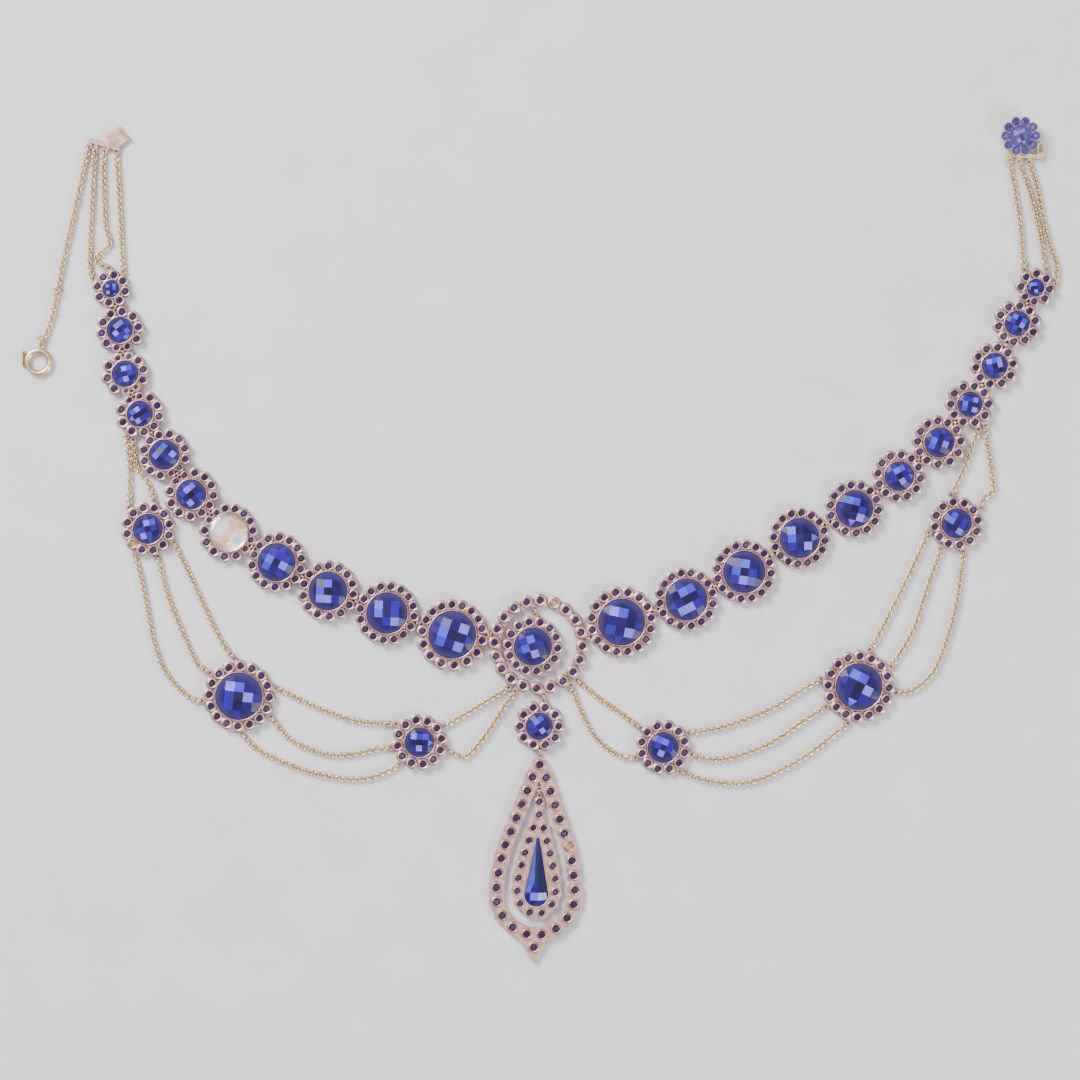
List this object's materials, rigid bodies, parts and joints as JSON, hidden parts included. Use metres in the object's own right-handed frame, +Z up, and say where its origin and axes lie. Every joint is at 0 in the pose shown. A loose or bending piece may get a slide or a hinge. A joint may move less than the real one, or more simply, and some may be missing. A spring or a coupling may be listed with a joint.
{
  "type": "festoon necklace",
  "caption": "Antique festoon necklace of rose gold clusters set with blue paste, fine chain swags and a pear-shaped pendant drop, laid open and flat",
  "frame": {"origin": "the middle of the necklace's outline on the surface on which it lies", "axes": "X across the necklace to the right, Y from the pendant towards the clasp ends, Z up from the surface"},
  "size_m": [0.2591, 0.2106, 0.005],
  "materials": {
    "rose_gold": "pale rose gold, softly worn, slightly greyed on the sides",
    "yellow_gold": "pale yellow gold, softly polished",
    "blue_paste": "faceted royal blue glass, backed with foil",
    "violet_paste": "small dark violet faceted glass",
    "lavender_paste": "lavender blue faceted glass"
  },
  "bodies": {
    "necklace": {"row_setting_left_01": "rose_gold", "row_setting_left_02": "rose_gold", "row_setting_left_03": "rose_gold", "row_setting_left_04": "rose_gold", "row_setting_left_05": "rose_gold", "row_setting_left_06": "rose_gold", "row_setting_left_07": "rose_gold", "row_setting_left_08": "rose_gold", "row_setting_left_09": "rose_gold", "row_setting_left_10": "rose_gold", "row_setting_left_11": "rose_gold", "row_setting_right_01": "rose_gold", "row_setting_right_02": "rose_gold", "row_setting_right_03": "rose_gold", "row_setting_right_04": "rose_gold", "row_setting_right_05": "rose_gold", "row_setting_right_06": "rose_gold", "row_setting_right_07": "rose_gold", "row_setting_right_08": "rose_gold", "row_setting_right_09": "rose_gold", "row_setting_right_10": "rose_gold", "row_setting_right_11": "rose_gold", "swag_setting_left_1": "rose_gold", "swag_setting_left_2": "rose_gold", "swag_setting_left_3": "rose_gold", "swag_setting_right_1": "rose_gold", "swag_setting_right_2": "rose_gold", "swag_setting_right_3": "rose_gold", "centre_ring": "rose_gold", "centre_setting": "rose_gold", "small_drop_setting": "rose_gold", "pendant_frame": "rose_gold", "pear_setting": "rose_gold", "row_stones_left": "blue_paste", "row_stones_right": "blue_paste", "swag_stones_left": "blue_paste", "swag_stones_right": "blue_paste", "centre_stone": "blue_paste", "small_drop_stone": "blue_paste", "pear_stone": "blue_paste", "ring_small_stones": "violet_paste", "centre_small_stones": "violet_paste", "pendant_small_stones": "violet_paste", "link_rings": "yellow_gold", "back_chains_left": "yellow_gold", "back_chains_right": "yellow_gold", "safety_chain": "yellow_gold", "swag_chains_left_1": "yellow_gold", "swag_chains_left_2": "yellow_gold", "swag_chains_left_3": "yellow_gold", "swag_chains_left_4": "yellow_gold", "swag_chains_right_1": "yellow_gold", "swag_chains_right_2": "yellow_gold", "swag_chains_right_3": "yellow_gold", "swag_chains_right_4": "yellow_gold", "clasp_tongue": "rose_gold", "clasp_box": "rose_gold", "clasp_stones": "lavender_paste", "bolt_ring": "yellow_gold"},
    "bolt_lever": {"bolt": "yellow_gold"}
  },
  "joints": [
    {"name": "bolt_slide", "type": "hinge", "parent": "necklace", "child": "bolt_lever", "pos_m": [-0.1254, 0.0447, 0.00083], "axis": [0, 0, -1], "range_deg": [0, 46], "stiffness_Nm_per_rad": 0.0005, "springref_deg": -11.46}
  ]
}
